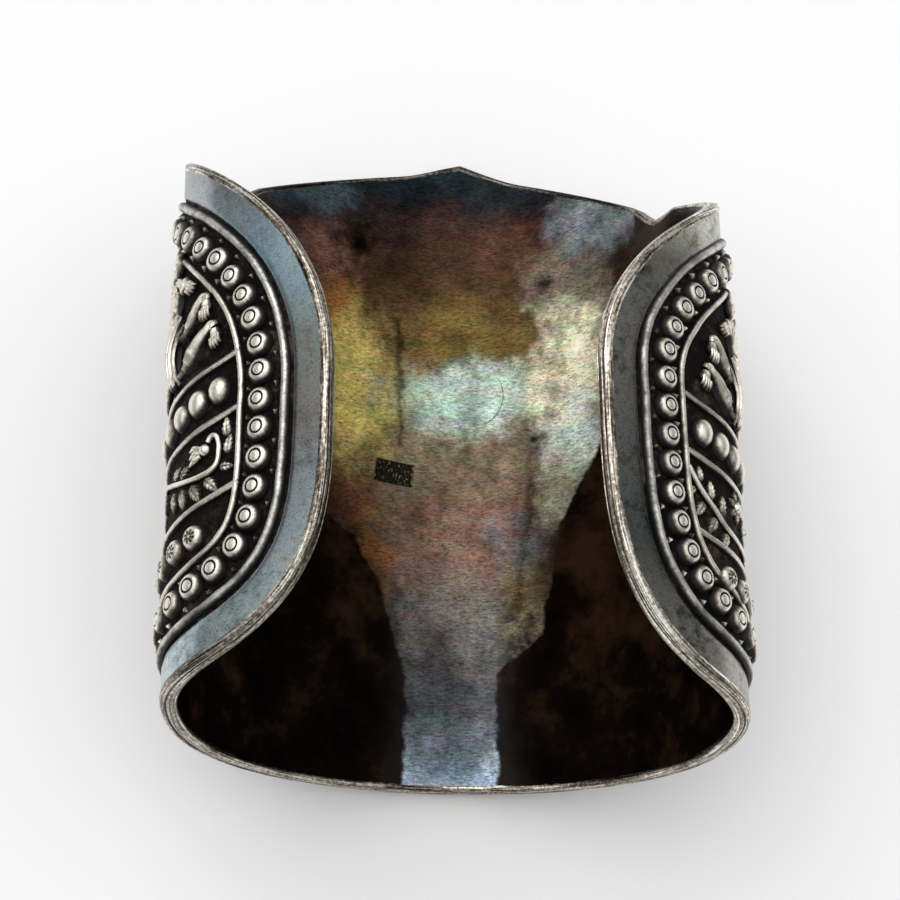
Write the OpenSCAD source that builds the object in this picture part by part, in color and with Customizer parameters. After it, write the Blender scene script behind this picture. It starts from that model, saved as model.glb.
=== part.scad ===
// Wide open cuff of chased silver, lying on its back with the gap up.
// A point of the sheet is [s, y]: s runs round the wrist from the middle of the front, y along it.

/* [Cuff] */
// Outer width across the plain sheet
cuff_w = 62; // [58:1:66]
// Thickness of the liner and the chased sheet, soldered together
wall = 1.7; // [1.5:0.1:2]
// Radius of the shoulder, where the side turns over to the gap
shoulder_r = 11.8; // [11:0.2:13]
// Turn of the shoulder in degrees
shoulder_turn = 53; // [48:1:56]
// Radius of the leaf between the shoulder and the gap
leaf_r = 98; // [80:1:120]

/* [Outline of the sheet] */
// Half of the sheet's length round the wrist
half_len = 73.9; // [72:0.1:75]
// Height of the left and right tip over the straight lower edge
tip_ys = [32.6, 38.1];
// Height of the upper edge in the middle, without its crest
upper_y = 75.2; // [74:0.2:77]
// Fullness of the left and right upper corner, where 2 is an ellipse
upper_fulls = [2.14, 1.94];
// Fullness of the lower corners
lower_full = 4; // [3.6:0.1:4.4]
// Extra rise of the upper edge over the front, as a low arch
crest_h = 7.9; // [5:0.1:9]
// Half width of that arch
crest_w = 31.5; // [30:0.5:34]
// Place of its middle to the right of the middle of the front
crest_at = 1.2; // [0:0.2:3]
// Depth of the notch at each end of the arch
notch_h = 1.3; // [0.5:0.1:2]
// Height of the small peak on the arch
peak_h = 1.7; // [1:0.1:2.5]
// Half width of the peak
peak_w = 8; // [5:0.5:9]
// Place of the peak to the right of the middle
peak_at = 3.6; // [0:0.2:4]
// Rise of the sheet for each millimetre round the wrist, as it was bent a little askew
skew = -0.02; // [-0.03:0.005:0]
// Radius of the rim's rounded corners
rim_r = 0.45; // [0.3:0.05:0.6]

/* [Border] */
// Distance of the outer rib from the edge
outer_rib_in = 5.1; // [4.8:0.1:5.4]
// Distance of the row of bosses from the edge
boss_in = 7.85; // [7.7:0.05:8]
// Distance of the inner rib from the edge
inner_rib_in = 10.5; // [10.3:0.1:10.7]
// Number of bosses in the row
boss_n = 104; // [92:4:108]
// Radius of a boss at its foot
boss_r = 1.35; // [1.2:0.05:1.4]
// Height of a boss
boss_h = 1.25; // [1:0.05:1.4]
// Depth worn off the bosses that the cuff lies on, which leaves them flat
worn = 0.45; // [0.3:0.05:0.6]

/* [Rows] */
// Rise of the rows at the ends of the cuff
row_lift = 5; // [3:0.5:6]
// Further rise of the rows for each millimetre round the wrist
row_skew = -0.009; // [-0.02:0.001:0]
// Number of oval pearls in the plain row
pearl_n = 44; // [36:2:46]
// Number of pearls in the stamped row
star_n = 38; // [32:2:42]
// Number of waves of the vine
vine_waves = 8; // [6:1:10]

/* [Hidden] */

// The section is three arcs to each side: front, shoulder and leaf.
front_r = cuff_w / 2;
front_len = front_r * PI / 2;
shoulder_len = shoulder_r * shoulder_turn * PI / 180;
leaf_turn = 90 + shoulder_turn;
front = [0, front_r, front_r];
shoulder = [front_r - shoulder_r, front_r, shoulder_r];
leaf = [shoulder[0] + (shoulder_r - leaf_r) * sin(leaf_turn),
    front_r - (shoulder_r - leaf_r) * cos(leaf_turn), leaf_r];

// Centre and radius of the arc that holds s, and the sheet's turn there in degrees
function arc_at(s) = s < front_len ? front : s < front_len + shoulder_len ? shoulder : leaf;
function turn_right(s) = s < front_len ? s / front_r * 180 / PI
    : s < front_len + shoulder_len ? 90 + (s - front_len) / shoulder_r * 180 / PI
    : leaf_turn + (s - front_len - shoulder_len) / leaf_r * 180 / PI;
function turn(s) = sign(s) * turn_right(abs(s));

// Upper and lower edge of the sheet as fullness curves
function curve(s, full) = pow(max(0, 1 - pow(abs(s) / half_len, full)), 1 / full);
function crest(s) = let (off = abs(s - crest_at)) crest_h * max(0, 1 - pow(off / crest_w, 1.35));
function notch(s) = let (off = abs(abs(s - crest_at) - crest_w - 1.7)) notch_h * max(0, 1 - off / 4);
function peak(s) = let (off = abs(s - peak_at)) peak_h * pow(max(0, 1 - off / peak_w), 1.5);
function tip_y(s) = s < 0 ? tip_ys[0] : tip_ys[1];
function upper(s) = let (full = s < 0 ? upper_fulls[0] : upper_fulls[1])
    tip_y(s) + (upper_y - tip_y(s)) * curve(s, full) + crest(s) - notch(s);
function lower(s) = tip_y(s) * (1 - curve(s, lower_full));

// Stations round the wrist, closer together toward the tips, with one at the peak and one at each notch
body = [0, 5, 10, 15, 20, 25, 29.5, 33.2, 38, 43.5, 49, 54.5, 60];
body_steps = len(body) - 1;
tip_steps = 5;
steps = body_steps + tip_steps;
function station(i) = peak_at * pow(1 - abs(i) / steps, 2)
    + sign(i) * (abs(i) <= body_steps ? body[abs(i)]
        : body[body_steps] + (half_len - body[body_steps]) * (1 - pow(1 - (abs(i) - body_steps) / tip_steps, 3)));

// The outline as a closed line, with the peak or without it
function outline(with_peak) = concat(
    [for (i = [-steps : steps]) let (s = station(i)) [s, upper(s) + (with_peak ? peak(s) : 0)]],
    [for (i = [steps - 1 : -1 : 1 - steps]) let (s = station(i)) [s, lower(s)]]);

// The middle of the cuff's length is over the origin, and its worn bosses lie flat on the ground.
edge_ys = [for (p = outline(true)) p[1] + skew * p[0]];
mid_y = (max(edge_ys) + min(edge_ys)) / 2;
lift = boss_h - worn;
function on(s, y, h) = let (a = turn(s), arc = arc_at(abs(s)))
    [sign(s) * arc[0] + (arc[2] + h) * sin(a), y + skew * s - mid_y, lift + arc[1] - (arc[2] + h) * cos(a)];

// Inward side of a line of the sheet at its point i, and the line moved that way
function side(line, i, closed) = let (n = len(line),
    before = line[closed ? (i + n - 1) % n : max(0, i - 1)],
    after = line[closed ? (i + 1) % n : min(n - 1, i + 1)],
    along = after - before) [along[1], -along[0]] / norm(along);
function inset(line, d) = [for (i = [0 : len(line) - 1]) line[i] + d * side(line, i, true)];

// Length of a closed line up to each of its points, and the point at a length
function lengths(line, i = 0, sum = 0) = i == len(line) ? [sum]
    : concat([sum], lengths(line, i + 1, sum + norm(line[(i + 1) % len(line)] - line[i])));
function stretch(sums, d, i = 0) = d < sums[i + 1] ? i : stretch(sums, d, i + 1);
function point_at(line, sums, d) = let (i = stretch(sums, d), f = (d - sums[i]) / (sums[i + 1] - sums[i]))
    (1 - f) * line[i] + f * line[(i + 1) % len(line)];

// The skin over n sections of m points each
module swept(pts, n, m, closed) {
    last = closed ? n - 1 : n - 2;
    skin = [for (i = [0 : last]) for (k = [0 : m - 1]) let (j = (i + 1) % n, q = (k + 1) % m)
        each [[m * i + k, m * i + q, m * j + q], [m * i + k, m * j + q, m * j + k]]];
    ends = closed ? [] : [[for (k = [m - 1 : -1 : 0]) k], [for (k = [0 : m - 1]) m * (n - 1) + k]];
    polyhedron(pts, concat(skin, ends));
}

// The sheet with its rounded rim: four loops of the outline across the thickness
rim_rows = [[rim_r, 0], [0, -rim_r], [0, rim_r - wall], [rim_r, -wall]];
module sheet() {
    line = outline(true);
    n = len(line);
    pts = [for (r = rim_rows) for (p = inset(line, r[0])) on(p[0], p[1], r[1])];
    outer = [for (i = [0 : 2 * steps - 1]) let (a = i, b = i + 1, c = (n - b) % n, d = (n - a) % n)
        each a == 0 ? [[a, c, b]] : b == 2 * steps ? [[a, d, b]] : [[a, c, b], [a, d, c]]];
    inner = [for (f = outer) [f[2], f[1], f[0]] + 3 * [n, n, n]];
    rim = [for (k = [0 : 2]) for (i = [0 : n - 1]) let (a = k * n + i, b = k * n + (i + 1) % n)
        each [[a, b, b + n], [a, b + n, a + n]]];
    polyhedron(pts, concat(outer, inner, rim));
}

// A raised rib along a line of the sheet, sunk a little into it
sink = 0.5;
module rib(line, w, h, closed = true) {
    ridge = [[-w / 2, -sink], [0, h], [w / 2, -sink]];
    pts = [for (i = [0 : len(line) - 1]) for (r = ridge)
        let (p = line[i] + r[0] * side(line, i, closed)) on(p[0], p[1], r[1])];
    swept(pts, len(line), 3, closed);
}

// Children stand on the sheet at [s, y], their +Z pointing out of it.
module at(s, y) translate(on(s, y, 0)) rotate([0, 180 - turn(s), 0]) children();

// A round boss, wide at its foot and flat on top
module boss() hull() {
    translate([0, 0, -sink]) cylinder(r = 1.15 * boss_r, h = 0.1, $fn = 8);
    cylinder(r = 0.6 * boss_r, h = boss_h, $fn = 8);
}

// The border: a row of bosses between two ribs, all round the sheet
module border() {
    line = outline(false);
    rib(inset(line, outer_rib_in), 1.3, 0.8);
    rib(inset(line, inner_rib_in), 0.9, 0.6);
    row = inset(line, boss_in);
    sums = lengths(row);
    for (i = [0 : boss_n - 1]) let (p = point_at(row, sums, (i + 0.5) / boss_n * sums[len(row)]))
        at(p[0], p[1]) boss();
}

// A row round the cuff, base over the lower edge in the middle, as n stretches to its reach
function row_y(base, s) = base + row_lift * pow(s / 62, 4) + row_skew * s;
function row(base, reach, n) = [for (i = [0 : n]) let (s = reach * (2 * i / n - 1)) [s, row_y(base, s)]];

// Pearls that touch, a crest and a neck for each
module pearls(base, reach, n, w, h) {
    line = row(base, reach, 2 * n);
    pts = [for (i = [0 : 2 * n]) let (k = i % 2 == 1 ? 1 : 0.5)
        for (r = [[-w / 2, -sink], [-w / 3, h], [w / 3, h], [w / 2, -sink]])
            let (p = line[i] + k * r[0] * side(line, i, false)) on(p[0], p[1], r[1] < 0 ? r[1] : k * r[1])];
    swept(pts, 2 * n + 1, 4, false);
}

// Each row: [base, reach], and for the pearls their number and width too
rib_rows = [[16.3, 62.3], [24.8, 63.5], [31.2, 63.4], [52.5, 46.5]];
pearl_rows = [[13, 59.5, star_n, 3], [28, 63, pearl_n, 3.2]];
module rows() {
    for (r = rib_rows) rib(row(r[0], r[1], 12), 0.9, 0.6, false);
    for (r = pearl_rows) pearls(r[0], r[1], r[2], r[3], 1.1);
}

// The vine winds along the middle of its row.
vine_base = 20.6;
vine_reach = 62;
vine_swing = 1.9;
module vine() {
    n = 4 * vine_waves;
    rib([for (p = row(vine_base, vine_reach, n))
        p - [0, vine_swing * sin(180 * vine_waves * p[0] / vine_reach)]], 1.2, 0.7, false);
}

// A limb of a dancer: a tapered pad from one point of the sheet to another
module limb(from, to, r1, r2, h) hull() {
    at(from[0], from[1]) translate([0, 0, -sink]) cylinder(r1 = r1, r2 = 0.6 * r1, h = sink + h, $fn = 4);
    at(to[0], to[1]) translate([0, 0, -sink]) cylinder(r1 = r2, r2 = 0.6 * r2, h = sink + h, $fn = 4);
}

// Dancers with raised arms: [from, to, radius at each end] of head and body, arms, and legs
limbs = [
    [[0, 16], [0, 8], 1.5, 2.1],
    [[-5.2, 11], [5.4, 13], 0.9, 0.9],
    [[0.6, 7.6], [3.6, 1.8], 1.6, 1],
    [[-0.6, 7.6], [-3.6, 1.4], 1.6, 1]];
dancer_places = [-52, -31, -10.5, 10.5, 31, 52];
dancer_base = 33;
module dancer(s) {
    feet = [s, row_y(dancer_base, s)];
    way = [sign(s), 1];
    for (l = limbs) limb(feet + [for (k = [0, 1]) way[k] * l[0][k]],
        feet + [for (k = [0, 1]) way[k] * l[1][k]], l[2], l[3], 0.9);
}

module cuff() color([0.62, 0.6, 0.57]) intersection() {
    union() {
        sheet();
        border();
        rows();
        vine();
        for (s = dancer_places) dancer(s);
    }
    // All that is over the ground, so that what the cuff lies on is worn flat
    translate([-cuff_w, -cuff_w, 0]) cube(2 * cuff_w);
}

cuff();
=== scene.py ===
import bisect
import itertools
import math
import bpy
from mathutils import Matrix, Vector, noise


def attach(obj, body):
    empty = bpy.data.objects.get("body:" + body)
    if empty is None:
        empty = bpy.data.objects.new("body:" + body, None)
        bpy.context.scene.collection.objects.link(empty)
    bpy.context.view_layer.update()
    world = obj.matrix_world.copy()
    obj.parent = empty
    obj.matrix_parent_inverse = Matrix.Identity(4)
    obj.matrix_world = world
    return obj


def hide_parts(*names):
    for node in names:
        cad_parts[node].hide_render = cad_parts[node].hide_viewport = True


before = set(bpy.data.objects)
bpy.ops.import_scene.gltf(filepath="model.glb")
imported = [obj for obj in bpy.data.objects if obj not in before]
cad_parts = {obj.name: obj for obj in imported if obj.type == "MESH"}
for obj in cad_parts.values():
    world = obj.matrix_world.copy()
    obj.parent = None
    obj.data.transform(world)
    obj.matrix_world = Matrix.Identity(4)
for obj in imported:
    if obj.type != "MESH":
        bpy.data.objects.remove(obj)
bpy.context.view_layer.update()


# The view
# The cuff lies on the middle of its front and is seen from above and a little in front, 23 cm away.
# The camera is turned a little about its own line of sight, so the cuff leans to the right.
VIEW_AIM = Vector((0.0004, -0.005242, 0.01988))
VIEW_FAR = 0.2306
VIEW_UP = math.radians(68.4)
VIEW_AROUND = math.radians(-11.6)
VIEW_LEAN = math.radians(12.1)
VIEW_LENS = 78.75
VIEW_SENSOR = 36

toward = Vector((math.sin(VIEW_AROUND) * math.cos(VIEW_UP),
                 -math.cos(VIEW_AROUND) * math.cos(VIEW_UP),
                 math.sin(VIEW_UP)))
level = Vector((0, 0, 1)).cross(toward).normalized()
upright = toward.cross(level)
right = math.cos(VIEW_LEAN) * level + math.sin(VIEW_LEAN) * upright
above = math.cos(VIEW_LEAN) * upright - math.sin(VIEW_LEAN) * level
turn = Matrix((right, above, toward)).transposed().to_euler()
bpy.ops.object.select_all(action="DESELECT")
bpy.ops.object.camera_add(location=VIEW_AIM + VIEW_FAR * toward, rotation=turn)
view = bpy.context.object
view.name = "view"
view.data.sensor_width = VIEW_SENSOR
view.data.lens = VIEW_LENS
view.data.clip_start = 0.01
bpy.context.scene.camera = view


# The table and the light
# White paper under a wide soft light that stands behind the cuff, with a paler light all round.
# The light is what the polished silver mirrors, so it is large and even.
PAPER = "#f7f7f7"
PAPER_SIZE = 6.0
ROOM_LIGHT = 1.26
SHADED_SIDE = 0.6
SOFT_LIGHT = 20.0
SOFT_LIGHT_SIZE = 2.2
SOFT_LIGHT_PLACE = Vector((-0.7, 1.5, 2.0))


def linear(code):
    """A hex colour, as the screen shows it, in the linear values that a shader takes."""
    shown = [int(code[i:i + 2], 16) / 255 for i in (1, 3, 5)]
    return [c / 12.92 if c < 0.04045 else ((c + 0.055) / 1.055) ** 2.4 for c in shown] + [1]


def feed(material, node, feeds):
    """Gives the inputs of a node their numbers, colours or links, in their order or by name."""
    for slot, value in feeds.items() if isinstance(feeds, dict) else enumerate(feeds):
        if isinstance(value, bpy.types.NodeSocket):
            material.node_tree.links.new(value, node.inputs[slot])
        else:
            node.inputs[slot].default_value = value


def add_node(material, kind, feeds=(), give=0, stops=None, **settings):
    """One of the outputs of a new node, made with its settings, its links and, for a ramp, its stops."""
    made = material.node_tree.nodes.new("ShaderNode" + kind)
    for name, value in settings.items():
        setattr(made, name, value)
    feed(material, made, feeds)
    if stops:
        ramp = made.color_ramp.elements
        ramp[0].position, ramp[1].position = stops[0][0], stops[-1][0]
        ramp[0].color, ramp[1].color = linear(stops[0][1]), linear(stops[-1][1])
        for place, colour in stops[1:-1]:
            ramp.new(place).color = linear(colour)
    return made.outputs[give]


def new_material(name):
    """An empty node material and its shader."""
    material = bpy.data.materials.new(name)
    material.use_nodes = True
    return material, material.node_tree.nodes["Principled BSDF"]


bpy.context.scene.view_settings.view_transform = "Standard"
world = bpy.data.worlds.new("room")
world.use_nodes = True
bpy.context.scene.world = world
way = add_node(world, "TexCoord", give="Generated")
steep = add_node(world, "SeparateXYZ", [way], give="Z")
sky = add_node(world, "ValToRGB", [steep], stops=[
    (0.0, "#5a5855"), (0.3, "#6a6865"), (0.5, "#c8c9ca"), (0.62, "#ffffff")])
facing = add_node(world, "VectorMath", [way, SOFT_LIGHT_PLACE.normalized()], give="Value",
                  operation="DOT_PRODUCT")
facing = add_node(world, "MapRange", [facing, 0, 0.85, SHADED_SIDE], interpolation_type="SMOOTHSTEP")
sky = add_node(world, "VectorMath", [sky, facing], operation="MULTIPLY")
feed(world, world.node_tree.nodes["Background"], {"Color": sky, "Strength": ROOM_LIGHT})

bpy.ops.object.light_add(type="AREA", location=SOFT_LIGHT_PLACE)
soft_light = bpy.context.object
soft_light.name = "soft_light"
soft_light.data.size = SOFT_LIGHT_SIZE
soft_light.data.energy = SOFT_LIGHT
soft_light.rotation_euler = (-SOFT_LIGHT_PLACE).to_track_quat("-Z", "Y").to_euler()

bpy.ops.mesh.primitive_plane_add(size=PAPER_SIZE)
paper = bpy.context.object
paper.name = "paper"
paper_white, shader = new_material("white_paper")
feed(paper_white, shader, {"Base Color": linear(PAPER), "Roughness": 0.9})
paper.data.materials.append(paper_white)


# The liner
# The smooth inner half of the wall: a plain silver sheet cut to the outline and bent round the wrist.
# It was planished by hand, so it is a little uneven, and its tarnish has grown in coloured clouds.
# Sizes are in mm of the flat sheet: s round the wrist, y along it, and h out of it.
MM = 0.001
CUFF_W = 62.0
WALL = 1.7
SHOULDER_R = 11.8
SHOULDER_TURN = math.radians(53)
END_R = 98.0
HALF_LEN = 73.9
TIP_YS = [32.6, 38.1]
UPPER_Y = 75.2
UPPER_FULLS = [2.14, 1.94]
LOWER_FULL = 4.0
CREST_H = 7.9
CREST_W = 31.5
CREST_AT = 1.2
CREST_FULL = 1.55
NOTCH_H = 1.3
NOTCH_W = 4.0
NOTCH_OUT = 1.7
PEAK_H = 1.7
PEAK_W = 8.0
PEAK_AT = 3.6
PEAK_SHARP = 1.5
CORNER_H = 0.8
CORNER_W = 24.0
CORNER_AT = 61.0
SKEW = -0.02
MID_Y = 42.0295
LIFT = 0.8
OUTLINE_STEPS = 2000
LINER_THICK = 0.6
EDGE_IN = 0.55
EDGE_EASE = 0.5
SHEET_COLUMNS = 260
TIP_SHARE = 0.006
TIP_HALF = 0.1

FRONT_R = CUFF_W / 2
FRONT_LEN = FRONT_R * math.pi / 2
SHOULDER_LEN = SHOULDER_R * SHOULDER_TURN
END_TURN = math.pi / 2 + SHOULDER_TURN
SHOULDER_X = FRONT_R - SHOULDER_R
END_X = SHOULDER_X + (SHOULDER_R - END_R) * math.sin(END_TURN)
END_Z = FRONT_R - (SHOULDER_R - END_R) * math.cos(END_TURN)


def on_cuff(s, y, h):
    """The place in metres of a point of the flat sheet, on the front, a shoulder or the end beyond it."""
    far = abs(s)
    if far < FRONT_LEN:
        x, z, r, a = 0, FRONT_R, FRONT_R, far / FRONT_R
    elif far < FRONT_LEN + SHOULDER_LEN:
        x, z, r, a = SHOULDER_X, FRONT_R, SHOULDER_R, math.pi / 2 + (far - FRONT_LEN) / SHOULDER_R
    else:
        x, z, r, a = END_X, END_Z, END_R, END_TURN + (far - FRONT_LEN - SHOULDER_LEN) / END_R
    across = math.copysign(x + (r + h) * math.sin(a), s)
    up = max(0, LIFT + z - (r + h) * math.cos(a))
    return Vector((across, y + SKEW * s - MID_Y, up)) * MM


def curve(s, full):
    """Height of a fullness curve over the tips, from 0 at a tip to 1 in the middle."""
    return max(0, 1 - abs(s / HALF_LEN) ** full) ** (1 / full)


def upper(s, peak=True):
    """The upper edge of the sheet: a low arch with a small peak between two notches, and a round corner."""
    side = 0 if s < 0 else 1
    arch = CREST_H * max(0, 1 - (abs(s - CREST_AT) / CREST_W) ** CREST_FULL)
    notch = NOTCH_H * max(0, 1 - abs(abs(s - CREST_AT) - CREST_W - NOTCH_OUT) / NOTCH_W)
    point = PEAK_H * max(0, 1 - abs(s - PEAK_AT) / PEAK_W) ** PEAK_SHARP if peak else 0
    if peak and abs(s - CORNER_AT) < CORNER_W:
        point -= CORNER_H * (1 + math.cos(math.pi * (s - CORNER_AT) / CORNER_W)) / 2
    return TIP_YS[side] + (UPPER_Y - TIP_YS[side]) * curve(s, UPPER_FULLS[side]) + arch - notch + point


def lower(s):
    """The lower edge of the sheet."""
    return TIP_YS[0 if s < 0 else 1] * (1 - curve(s, LOWER_FULL))


def reach_at(run):
    """Place round the wrist for a share of the way from tip to tip, in small steps at both tips."""
    return -HALF_LEN * math.cos(math.pi * math.sin(math.pi * run / 2) ** 2)


def run_lengths(line):
    """The length of a line up to each of its points."""
    return [0, *itertools.accumulate((b - a).length for a, b in zip(line, line[1:]))]


def spot_on(line, sums, length):
    """The point of a closed line at a length along it, and the step of the line there."""
    length %= sums[-1]
    i = bisect.bisect_right(sums, length) - 1
    share = (length - sums[i]) / (sums[i + 1] - sums[i])
    return line[i].lerp(line[i + 1], share), line[i + 1] - line[i]


def outline(count, peak=True, ease=EDGE_EASE):
    """Evenly spaced points of the edge, each with its inward side, from the left tip over the top."""
    reaches = [reach_at(i / OUTLINE_STEPS) for i in range(OUTLINE_STEPS)]
    dense = [Vector((s, upper(s, peak))) for s in reaches] + [Vector((-s, lower(-s))) for s in reaches]
    dense.append(dense[0])
    sums = run_lengths(dense)
    line = []
    for i in range(count):
        length = sums[-1] * i / count
        before, point, after = [spot_on(dense, sums, length + off)[0] for off in (-ease, 0, ease)]
        way = (after - before).normalized()
        line.append((point, Vector((way.y, -way.x))))
    return line


def sheet(name, h, inward, rows):
    """A flat sheet cut to the outline, at the height h."""
    bpy.ops.object.select_all(action="DESELECT")
    bpy.ops.mesh.primitive_grid_add(x_subdivisions=SHEET_COLUMNS, y_subdivisions=rows, size=2)
    made = bpy.context.object
    made.name = name
    for vertex in made.data.vertices:
        s = reach_at(min(max((vertex.co.x + 1) / 2, TIP_SHARE), 1 - TIP_SHARE))
        middle = (upper(s) + lower(s)) / 2
        top = max(upper(s) - inward, middle + TIP_HALF)
        foot = min(lower(s) + inward, middle - TIP_HALF)
        share = (1 - math.cos((vertex.co.y + 1) * math.pi / 2)) / 2
        vertex.co = (s * (1 - inward / HALF_LEN), foot + share * (top - foot), h)
    return made


def thicken(piece, thick):
    """Gives a flat sheet its thickness, downward."""
    bpy.context.view_layer.objects.active = piece
    bpy.ops.object.modifier_add(type="SOLIDIFY")
    piece.modifiers[-1].thickness = thick
    piece.modifiers[-1].offset = -1
    bpy.ops.object.modifier_apply(modifier=piece.modifiers[-1].name)


def bend_round_wrist(piece, smooth=40):
    """Bends a piece that is drawn flat round the wrist, and keeps its flat place for its material."""
    flat = piece.data.attributes.new("flat", "FLOAT_VECTOR", "POINT")
    for vertex in piece.data.vertices:
        flat.data[vertex.index].vector = vertex.co
        vertex.co = on_cuff(*vertex.co)
    bpy.ops.object.select_all(action="DESELECT")
    piece.select_set(True)
    bpy.context.view_layer.objects.active = piece
    bpy.ops.object.mode_set(mode="EDIT")
    bpy.ops.mesh.select_all(action="SELECT")
    bpy.ops.mesh.normals_make_consistent(inside=False)
    bpy.ops.object.mode_set(mode="OBJECT")
    bpy.ops.object.shade_smooth_by_angle(angle=math.radians(smooth))


# The marks of the work: hollows [depth, length, seed], dents [s, y, width, depth] and a struck rectangle
HOLLOWS = [(0.05, 11, 3), (0.012, 2.6, 8)]
DENTS = [(-10.5, 71.5, 2.1, 0.16), (15.5, 66.2, 1.3, 0.14), (13.2, 44.5, 0.5, 0.05)]
STAMP_AT = (-5.7, 40.0)
STAMP_SIZE = (5.2, 3.1)
STAMP_LEAN = 0.1
STAMP_DEEP = 0.12
liner = sheet("liner", LINER_THICK - WALL, EDGE_IN, 84)
thicken(liner, LINER_THICK)
for vertex in liner.data.vertices:
    s, y, h = vertex.co
    beaten = sum(deep * noise.noise(Vector((s / long, y / long, seed))) for deep, long, seed in HOLLOWS)
    for dent_s, dent_y, wide, deep in DENTS:
        beaten += deep * math.exp(-((s - dent_s) ** 2 + (y - dent_y) ** 2) / wide ** 2)
    off_s, off_y = s - STAMP_AT[0], y - STAMP_AT[1]
    if abs(off_s) < STAMP_SIZE[0] / 2 and abs(off_y + STAMP_LEAN * off_s) < STAMP_SIZE[1] / 2:
        beaten += STAMP_DEEP
    if h < LINER_THICK / 2 - WALL:
        vertex.co.z += beaten
bend_round_wrist(liner)

# Silver sheet with old sulphide tarnish, a film of many thin colours over a polished metal. The film is
# thin and glossy near the lower edge, and thick, pale and half matt in the upper half.
# The noises read the flat place, so a scale is a number of blots in a millimetre.
BANDS_LEN = 86
DRIFT = (15, 12, 0)
silver, shader = new_material("tarnished_planished_silver")
place = add_node(silver, "Attribute", give="Vector", attribute_name="flat")
across = add_node(silver, "SeparateXYZ", [place], give="X")
along = add_node(silver, "SeparateXYZ", [place], give="Y")
clouds = add_node(silver, "TexNoise", {"Vector": place, "Scale": 0.16, "Detail": 6, "Roughness": 0.65})
drift = add_node(silver, "VectorMath", [clouds.node.outputs["Color"], (0.5, 0.5, 0.5)], operation="SUBTRACT")
drift = add_node(silver, "VectorMath", [drift, DRIFT], operation="MULTIPLY")
drifted = add_node(silver, "VectorMath", [place, drift], operation="ADD")
drifted_along = add_node(silver, "SeparateXYZ", [drifted], give="Y")
height = add_node(silver, "MapRange", [drifted_along, 0, BANDS_LEN])
colour = add_node(silver, "ValToRGB", [height], stops=[
    (0.02, "#74828d"), (0.07, "#4f5559"), (0.12, "#37383b"), (0.18, "#3f3e3d"), (0.25, "#524e49"),
    (0.34, "#5d4a40"), (0.42, "#58463a"), (0.50, "#5f5646"), (0.60, "#564a31"), (0.70, "#493724"),
    (0.78, "#342619"), (0.85, "#291c17"), (0.91, "#181a1c"), (0.98, "#141d21")])

# Each cloud has a colour, a middle [s, y], a reach round the wrist and along it, a strength and a dullness.
CLOUDS = {
    "gold": ("#b8a55e", -13.8, 50.5, 8.8, 13, 0.9, 0.3),
    "orange": ("#8c5a2e", -16.5, 63.5, 6, 5.5, 0.8, 0.2),
    "low_gold": ("#523628", -15, 36, 7, 6, 0.9, 0.1),
    "turquoise": ("#96a89a", 4.5, 50.5, 11.5, 5.5, 0.9, 0.2),
    "olive": ("#5d4f26", 4, 59.5, 11, 5, 0.6, 0.1),
    "cream": ("#fff8d4", 19.5, 54, 7, 12, 0.95, 0.8),
    "pale_green": ("#dcece4", 20.5, 43.5, 6, 7, 0.85, 0.8),
    "pale_blue": ("#aaa78f", 17.5, 37, 4.5, 6, 0.75, 0.6),
    "straw": ("#7a6c4a", 12, 26, 3.5, 7, 0.6, 0.25),
    "tan": ("#9a8a6e", 13.5, 20, 3.2, 4, 0.75, 0.6),
    "blue": ("#56666f", 11.5, 30.5, 4, 4, 0.5, 0.1),
    "amber": ("#7a5428", -9.5, 28.5, 4, 7, 0.7, 0.1),
    "grey_rose": ("#857769", 19, 66.5, 7, 5, 0.8, 0.5),
    "rust": ("#4c3228", 12, 71.5, 7, 4, 0.5, 0.1),
    "steel_right": ("#8f979b", 24, 73.5, 8, 6, 0.85, 0.6),
    "steel_left": ("#485860", -19, 77, 9, 4, 0.85, 0.15),
    "red": ("#36231c", 2, 75, 12, 4, 0.4, 0),
    "red_left": ("#7a5850", -17, 69, 6, 5, 0.85, 0.1)}
matt = 0.0
for hue, s, y, reach_s, reach_y, strong, dull in CLOUDS.values():
    off = add_node(silver, "VectorMath", [drifted, (s, y, -WALL)], operation="SUBTRACT")
    off = add_node(silver, "VectorMath", [off, (1 / reach_s, 1 / reach_y, 0)], operation="MULTIPLY")
    off = add_node(silver, "VectorMath", [off], give="Value", operation="LENGTH")
    cloud = add_node(silver, "MapRange", [off, 1.25, 0.35, 0, strong], interpolation_type="SMOOTHSTEP")
    colour = add_node(silver, "MixRGB", [cloud, colour, linear(hue)])
    part = add_node(silver, "Math", [cloud, dull], operation="MULTIPLY")
    matt = add_node(silver, "Math", [matt, part], operation="MAXIMUM")

# The film is broken up into patches and fine specks of many hues, longer round the wrist than along it.
grain_place = add_node(silver, "VectorMath", [place, (0.5, 1.5, 1)], operation="MULTIPLY")
specks = add_node(silver, "TexNoise", give="Color",
                  feeds={"Vector": grain_place, "Scale": 0.42, "Detail": 10, "Roughness": 0.72})
dust = add_node(silver, "TexNoise", {"Vector": grain_place, "Scale": 3.2, "Detail": 4, "Roughness": 0.8})
blots = add_node(silver, "TexNoise", {"Vector": place, "Scale": 0.3, "Detail": 5, "Roughness": 0.62})
shades = [
    add_node(silver, "VectorMath", [specks, (0.5, 0.5, 0.5)], operation="ADD"),
    add_node(silver, "MapRange", [dust, 0.33, 0.67, 0.3, 1.75]),
    add_node(silver, "MapRange", [dust, 0.28, 0.36, 0.3]),
    add_node(silver, "MapRange", [blots, 0.32, 0.62, 0.5, 1.2])]

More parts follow.
